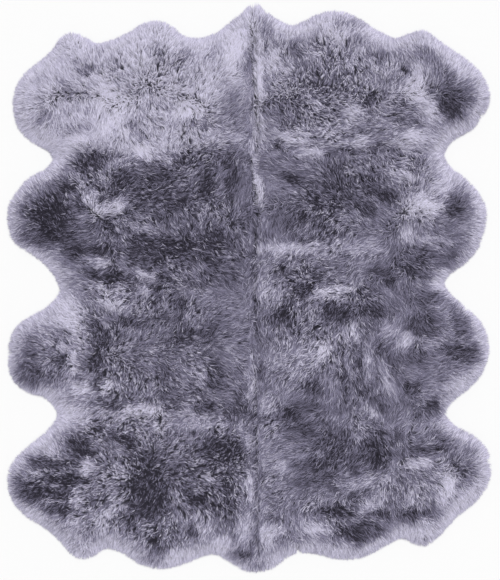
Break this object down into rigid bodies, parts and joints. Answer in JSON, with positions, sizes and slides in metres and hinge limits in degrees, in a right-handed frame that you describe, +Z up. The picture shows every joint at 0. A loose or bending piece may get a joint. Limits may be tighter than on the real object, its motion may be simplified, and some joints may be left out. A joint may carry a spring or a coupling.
{
  "type": "sheepskin rug",
  "caption": "Scalloped long-wool sheepskin rug, pieced from pelts that are sewn edge to edge in two columns, lying flat wool side up.",
  "frame": {"origin": "on the floor, in the middle of the rug's outline", "axes": "+Y along the rug's length, +X across it, +Z up out of the wool"},
  "size_m": [1.8052, 2.0928, 0.058],
  "materials": {
    "wool": "dyed long wool, matt, dark at the root and pale at the tip",
    "hide": "suede, the tanned flesh side of the pelts",
    "thread": "spun thread in the furrier's overcast seams"
  },
  "bodies": {
    "root": {"pelt_left_1": "wool", "pelt_left_2": "wool", "pelt_left_3": "wool", "pelt_left_4": "wool", "pelt_right_1": "wool", "pelt_right_2": "wool", "pelt_right_3": "wool", "pelt_right_4": "wool"}
  },
  "joints": []
}
